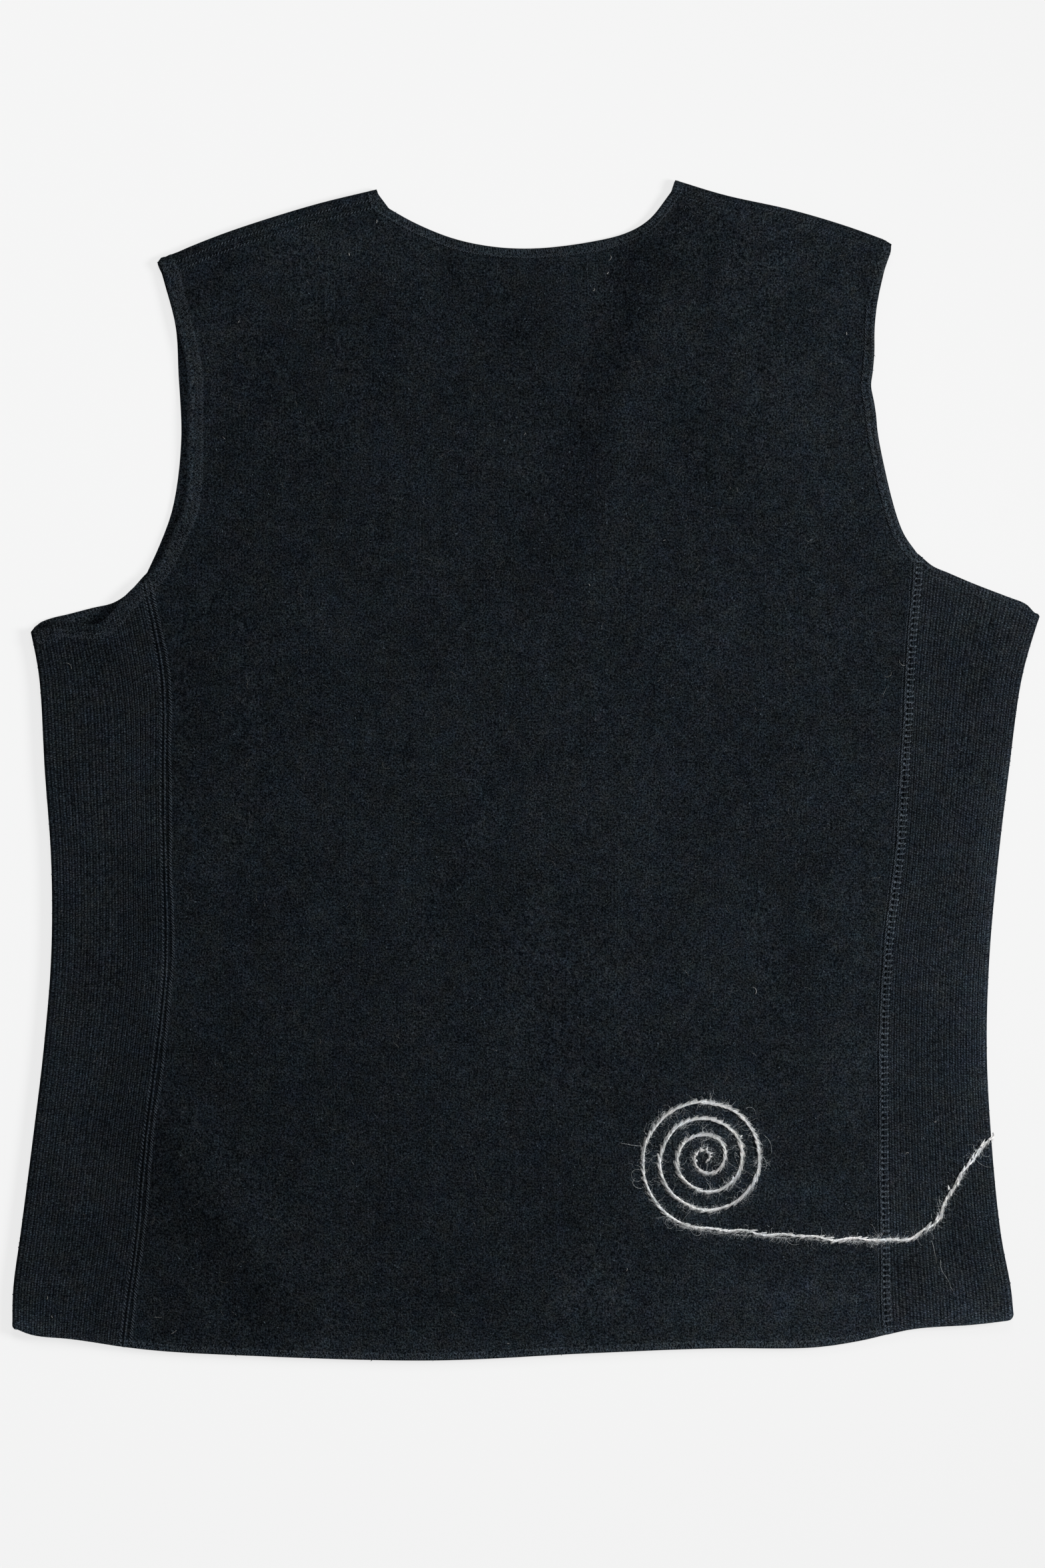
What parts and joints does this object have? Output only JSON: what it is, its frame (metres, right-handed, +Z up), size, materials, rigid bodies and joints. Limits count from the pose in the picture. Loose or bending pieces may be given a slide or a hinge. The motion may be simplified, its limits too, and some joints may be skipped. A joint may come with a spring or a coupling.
{
  "type": "sweater vest",
  "caption": "Knitted pullover vest with a V neckline, ribbed side gussets and a pale yarn spiral, laid flat on its front with its back up",
  "frame": {"origin": "middle of the laid garment's box, on the surface that it lies on", "axes": "+X is the wearer's right, which is the picture's right; +Y runs from the hem to the neck, up the picture; +Z is up from the surface, towards the camera"},
  "size_m": [0.5549, 0.638, 0.0087],
  "materials": {
    "felted_knit": "fine wool knit with a short felted nap, very dark blue-black",
    "rib_knit": "fine ribbed wool knit, very dark blue-black",
    "pale_yarn": "hairy two-ply pale grey wool yarn"
  },
  "bodies": {
    "root": {"back_panel": "felted_knit", "front_panel": "felted_knit", "side_panel_left": "rib_knit", "side_panel_right": "rib_knit", "yarn_spiral": "pale_yarn"}
  },
  "joints": []
}
